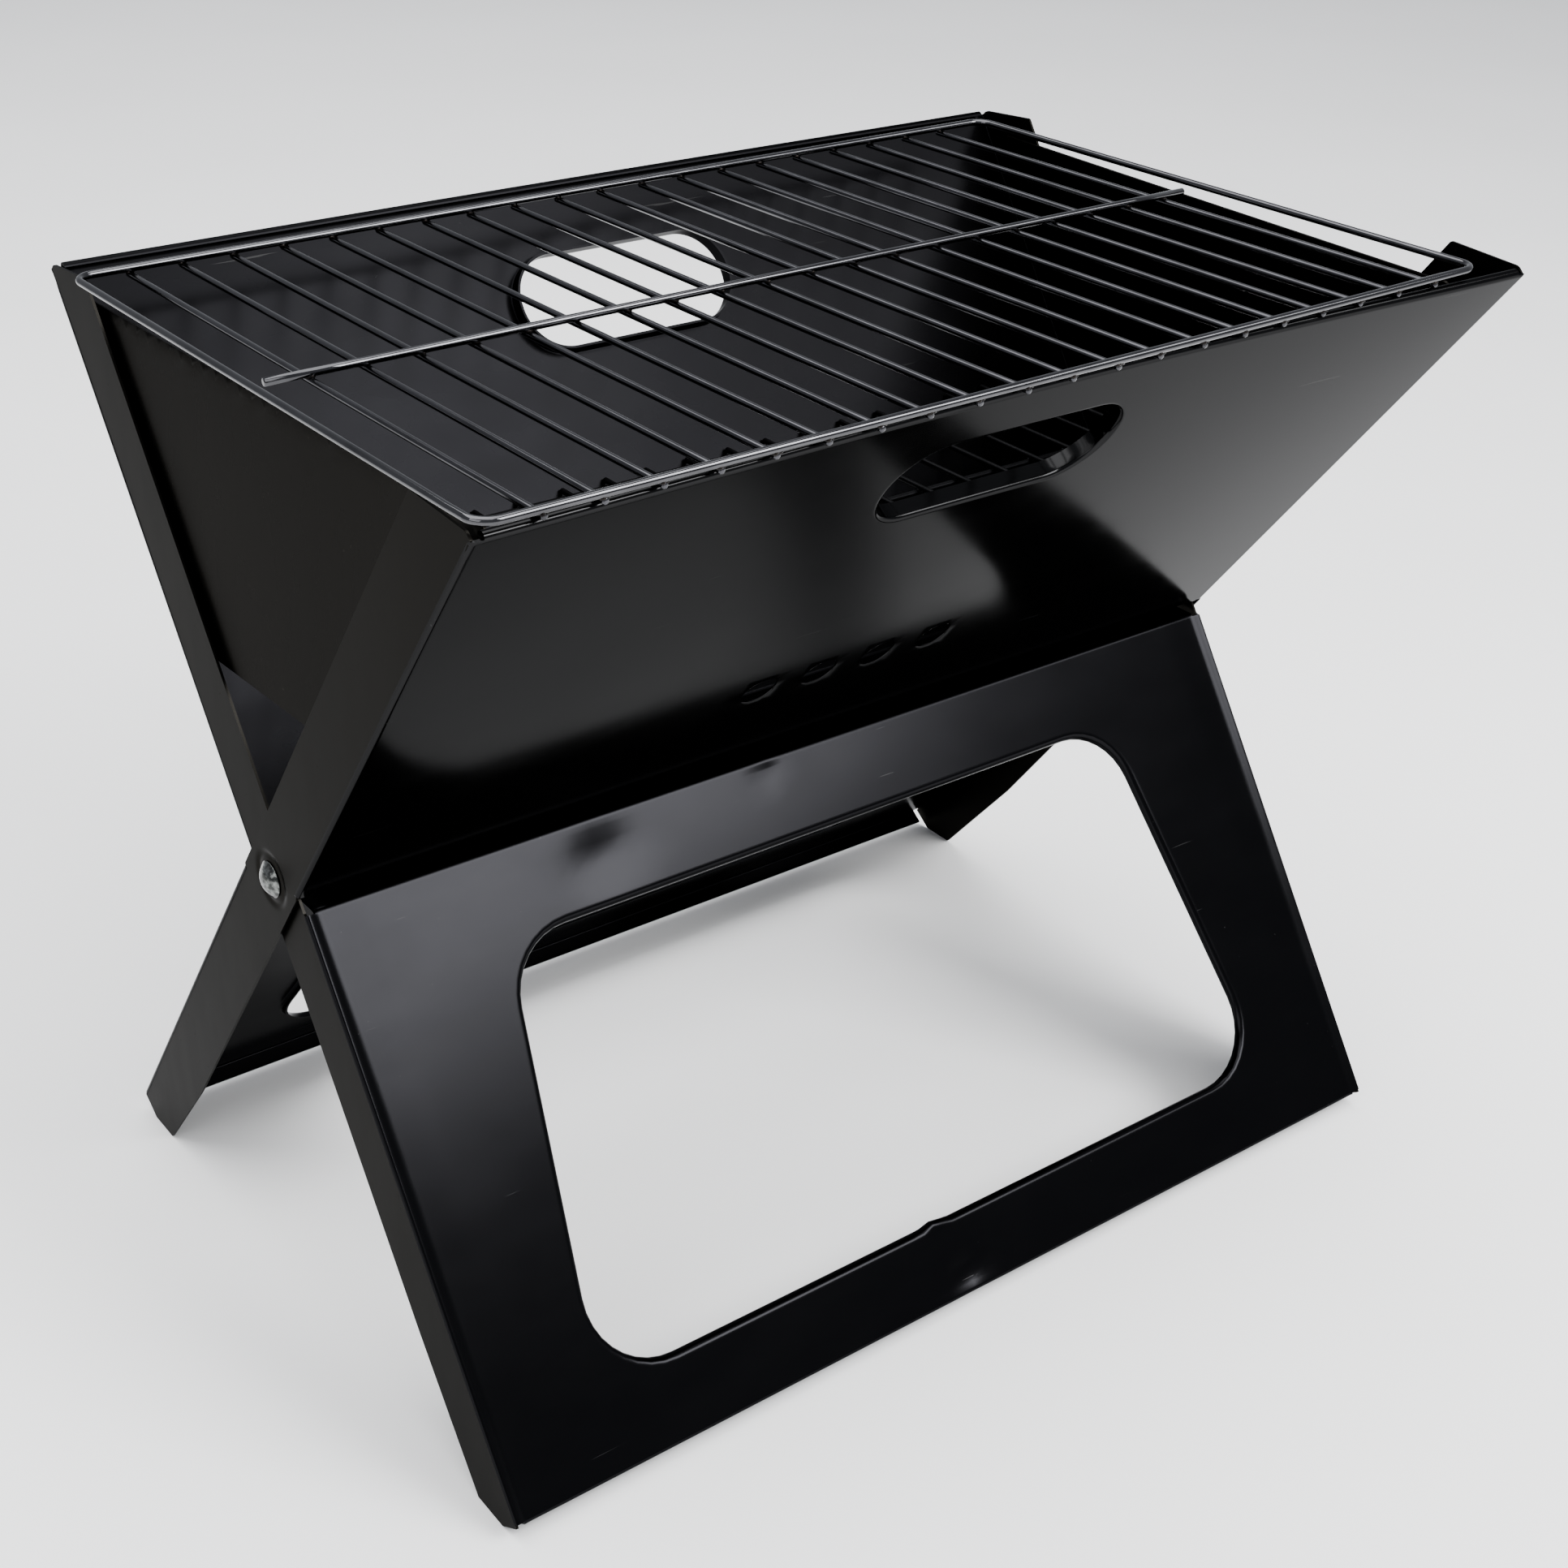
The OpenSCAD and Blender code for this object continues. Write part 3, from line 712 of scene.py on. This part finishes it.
pivot_bolt(-1, "pivot_bolt_left")
pivot_bolt(1, "pivot_bolt_right")
for kind in ("friction_washer", "pivot_washer", "pivot_nut"):
    for side in ("left", "right"):
        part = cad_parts[kind + "_" + side]
        part.data.materials.clear()
        part.data.materials.append(ZINC_PAINTED_SHADE_AND_STREAKS)


# ---------------------------------------------------------------- end plates

END_GAP = 9.0
END_STAND = 0.5
END_BOTTOM, END_TOP = 68.0, 175.0
# How far each plate is turned inward at the front, in degrees, by side
END_TURN = {-1: 3.0, 1: 3.5}


def wall_inside(z):
    """How far a wall's inner face is from the middle, at a height above the pivot."""
    return (HALF_STRIP - SHEET + z * SIN) / COS


def end_plate(side, name, node, body):
    """A trapezium turned in about its rear edge, with a small fold along its top."""
    edge = END_GAP / COS
    rear_n = HALF_STRIP - SHEET - END_GAP
    x = side * (HALF_INNER - 2 * SHEET - END_STAND)
    low, high = wall_inside(END_BOTTOM) - edge, wall_inside(END_TOP) - edge
    corners = [(-low, END_BOTTOM), (low, END_BOTTOM), (high, END_TOP), (-high, END_TOP)]
    outline = rounded(corners, [2, 2, 3, 3], 5.0)
    flat, faces = skin(outline, [], spaced(-high, high, 8), graded(END_BOTTOM, END_TOP, 8, [(END_TOP, 4, 1)]))
    lean_in = Matrix.Rotation(-LEAN, 4, "X")
    swing = Matrix.Rotation(math.radians(-side * END_TURN[side]), 4, "Z")
    shift = Matrix.Translation((0, rear_n, 0))
    swung = shift @ swing @ shift.inverted()
    placed = Matrix.Translation((x, 0, PIVOT_H)) @ lean_in @ swung @ lean_in.inverted()
    across, up = flat[:, 0], flat[:, 1]
    bulge = 0.5 * np.cos(across / high * 1.4) * np.cos((up - 120) / 60)
    top_turn = 0.5 * np.clip((up - (END_TOP - 2.5)) / 2.5, 0, 1) ** 2
    verts = [(placed @ Vector((side * (SHEET / 2 - b - t), a, v))) * MM
             for a, v, b, t in zip(across, up, bulge, top_turn)]
    if side < 0:
        faces = [f[::-1] for f in faces]
    thicken(new_piece(name, verts, faces, body, ENAMEL_PLATE, (node,)))


end_plate(-1, "end_plate_left_sheet", "end_plate_left", "left_end_plate")
end_plate(1, "end_plate_right_sheet", "end_plate_right", "right_end_plate")


# ---------------------------------------------------------------- wires

def middle_z(node):
    low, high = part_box(node)
    return (low[2] + high[2]) / 2 / MM


FRAME_R = 1.4
CROSS_R = 1.2
FRAME_CORNER = 7.0
RACK_W, RACK_D = 423.0, 261.0
RACK_CENTRE = (-14.5, -15.3)
RACK_TURN = math.radians(0.7)
RACK_FIRST, RACK_PITCH, RACK_WIRES = 21.0, 19.9, 20
# How far the cross wires run past the frame wire, at the front and at the rear
RACK_OVERHANGS = (0.0, 1.0)
# How far the rack's bar runs past its first and last cross wires
RACK_BAR_ENDS = (16.0, 11.0)
GRATE_W = 390.0
GRATE_X = -3.0
GRATE_PITCH, GRATE_WIRES = 20.2, 18
GRATE_OVERHANGS = (3.0, 3.0)
GRATE_BAR_INSET = 2.0
rng = random.Random(7)


def wire_loop(w, d, z):
    """The path of a frame wire: a level rectangle with bent corners."""
    return [(x, y, z) for x, y in rounded(box_corners(w, d, 0, 0), FRAME_CORNER, 9.0)]


def nearly_straight(start, end, bow):
    """A wire's path with the slight bow of a real one."""
    start, end = Vector(start), Vector(end)
    steps = 14
    path = []
    for i in range(steps + 1):
        t = i / steps
        sag = 0.15 * bow * math.sin(2 * math.pi * t)
        path.append(start.lerp(end, t) + Vector((bow * math.sin(math.pi * t), 0, sag)))
    return path


def nugget(x, y, z, size):
    """A small spot weld: a squashed bead with an uneven surface."""
    bead = [(-1, 0), (-0.8, 0.55), (-0.35, 0.9), (0.1, 1.0), (0.55, 0.8), (0.85, 0.45), (1, 0)]
    verts, faces = spun(bead, 12)
    lump = rng.uniform(0, 6)
    out = []
    for a, b, c in verts:
        k = size * (1 + 0.12 * math.sin(5 * a + lump) + 0.1 * math.cos(4 * b + 2 * lump))
        out.append((x + a * k * 1.25, y + b * k, z + c * k * 0.8))
    return out, faces


def settled(verts, centre, turn):
    """Turns about the vertical, moves to the centre and changes to metres."""
    out = []
    for x, y, z in verts:
        out.append(((centre[0] + x * math.cos(turn) - y * math.sin(turn)) * MM,
                    (centre[1] + x * math.sin(turn) + y * math.cos(turn)) * MM, z * MM))
    return out


def wire_grid(prefix, body, looks, size, centre, turn, row, overhangs, bar_ends):
    """A closed frame wire with a row of cross wires, their spot welds and one bar along it.
    looks are the materials of the frame, the cross wires and the welds. row holds the first
    cross wire's distance from the frame, their spacing and their number."""
    w, d = size
    first, pitch, count = row
    nodes = [prefix + part for part in ("_frame_wire", "_cross_wires", "_centre_bar")]
    frame_node, cross_node, bar_node = nodes
    z_frame, z_cross, z_bar = (middle_z(n) for n in nodes)
    frame_look, cross_look, weld_look = looks
    verts, faces = tube(wire_loop(w, d, z_frame), FRAME_R, 20, closed=True)
    new_piece(prefix + "_frame", settled(verts, centre, turn), faces, body, frame_look, (frame_node,))
    parts, welds = [], []
    below = z_cross < z_frame
    contact = z_cross + (CROSS_R if below else -CROSS_R) * 0.9
    for i in range(count):
        x = -w / 2 + first + i * pitch + rng.uniform(-0.3, 0.3)
        front_end = (x, -d / 2 - overhangs[0] - rng.uniform(-0.3, 0.3), z_cross)
        rear_end = (x + rng.uniform(-0.3, 0.3), d / 2 + overhangs[1], z_cross)
        parts.append(tube(nearly_straight(front_end, rear_end, rng.uniform(-0.25, 0.25)), CROSS_R, 16))
        for y in (-d / 2, d / 2):
            for s in (-1, 1):
                welds.append(nugget(x + s * 0.9, y + s * 0.3, contact, rng.uniform(0.85, 1.15)))
        if abs(z_bar - z_cross) < 4:
            welds.append(nugget(x, rng.uniform(-0.4, 0.4), (z_bar + z_cross) / 2, rng.uniform(1.0, 1.5)))
    verts, faces = gather(parts)
    new_piece(prefix + "_cross", settled(verts, centre, turn), faces, body, cross_look, (cross_node,))
    verts, faces = gather(welds)
    new_piece(prefix + "_welds", settled(verts, centre, turn), faces, body, weld_look)
    verts, faces = tube(nearly_straight((bar_ends[0], 0, z_bar), (bar_ends[1], 0, z_bar), 0.2), FRAME_R, 20,
                        round_ends=False)
    new_piece(prefix + "_bar", settled(verts, centre, turn), faces, body, frame_look, (bar_node,))


first_x = -RACK_W / 2 + RACK_FIRST
last_x = first_x + (RACK_WIRES - 1) * RACK_PITCH
wire_grid("rack", "cooking_rack", (CHROME_FRAME_PAINTED_SHADE, CHROME_PAINTED_SHADE, WELD), (RACK_W, RACK_D),
          RACK_CENTRE, RACK_TURN, (RACK_FIRST, RACK_PITCH, RACK_WIRES), RACK_OVERHANGS,
          (first_x - RACK_BAR_ENDS[0], last_x + RACK_BAR_ENDS[1]))
grate_low, grate_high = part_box("grate_frame_wire")
GRATE_D = (grate_high[1] - grate_low[1]) / MM - 2 * FRAME_R
grate_first = GRATE_W / 2 - (GRATE_WIRES - 1) / 2 * GRATE_PITCH
wire_grid("grate", "charcoal_grate", (DARK_WIRE, DARK_WIRE, DARK_WIRE), (GRATE_W, GRATE_D),
          (GRATE_X, 0), 0.0, (grate_first, GRATE_PITCH, GRATE_WIRES), GRATE_OVERHANGS,
          (-GRATE_W / 2 + GRATE_BAR_INSET, GRATE_W / 2 - GRATE_BAR_INSET))


# ---------------------------------------------------------------- floor, light and camera

def floor_material():
    material, tree, shader, place = node_tree("pale_floor")
    tone = ranged(tree, noise_of(tree, place, 3, 2), 0.3, 0.7, 0, 1)
    tree.links.new(blended(tree, tone, (0.86, 0.86, 0.86), (0.89, 0.89, 0.89)), shader.inputs["Base Color"])
    shader.inputs["Roughness"].default_value = 0.9
    shader.inputs["Specular IOR Level"].default_value = 0.1
    return material


def stage_plane(name, size, z):
    mesh = bpy.data.meshes.new(name)
    corners = [(-size, -size, z), (size, -size, z), (size, size, z), (-size, size, z)]
    mesh.from_pydata(corners, [], [(0, 1, 2, 3)])
    mesh.materials.append(floor_material())
    plane = bpy.data.objects.new(name, mesh)
    bpy.context.scene.collection.objects.link(plane)


def soft_box(name, place, target, width, height, power):
    """A rectangular lamp, in metres and watts, that faces the target."""
    light = bpy.data.lights.new(name, "AREA")
    light.shape = "RECTANGLE"
    light.size, light.size_y = width, height
    light.energy = power
    lamp = bpy.data.objects.new(name, light)
    lamp.location = place
    lamp.rotation_euler = (Vector(target) - Vector(place)).to_track_quat("-Z", "Y").to_euler()
    bpy.context.scene.collection.objects.link(lamp)


FLOOR_HALF = 14
FLOOR_GAP = 0.0005
stage_plane("floor", FLOOR_HALF, -FLOOR_GAP)
world = bpy.data.worlds.new("studio")
world.use_nodes = True
world.node_tree.nodes["Background"].inputs["Color"].default_value = (0.9, 0.93, 1.0, 1)
world.node_tree.nodes["Background"].inputs["Strength"].default_value = 0.6
bpy.context.scene.world = world
soft_box("key", (0.62, -1.15, 1.33), (0, 0, 0.2), 0.9, 0.85, 49)
soft_box("top", (-0.3, 0.3, 2.6), (0, 0, 0), 3.2, 3.2, 170)
soft_box("left", (-2.2, -0.6, 1.2), (0, 0, 0.2), 1.6, 1.4, 20)
soft_box("right", (1.5, -1.0, 1.5), (0, 0, 0.2), 0.5, 0.5, 8)

# Camera: place in metres, then the angles of its view in radians
CAMERA_AT = Vector((-0.5067, -0.6243, PIVOT_H * MM + 0.4189))
AZIMUTH, ELEVATION, ROLL = -0.6306, 0.5413, 0.0194
camera_data = bpy.data.cameras.new("camera")
camera_data.sensor_width = 36
camera_data.lens = 51.63
camera_data.shift_x = 0.0717
camera_data.shift_y = 0.0409
camera = bpy.data.objects.new("camera", camera_data)
level_ahead = Vector((-math.sin(AZIMUTH), math.cos(AZIMUTH), 0))
ahead = level_ahead * math.cos(ELEVATION) - Vector((0, 0, math.sin(ELEVATION)))
right = ahead.cross(Vector((0, 0, 1))).normalized()
above = right.cross(ahead)
rolled_right = right * math.cos(ROLL) + above * math.sin(ROLL)
rolled_above = above * math.cos(ROLL) - right * math.sin(ROLL)
turned = Matrix((rolled_right, rolled_above, -ahead)).transposed().to_4x4()
camera.matrix_world = Matrix.Translation(CAMERA_AT) @ turned
bpy.context.scene.collection.objects.link(camera)
bpy.context.scene.camera = camera
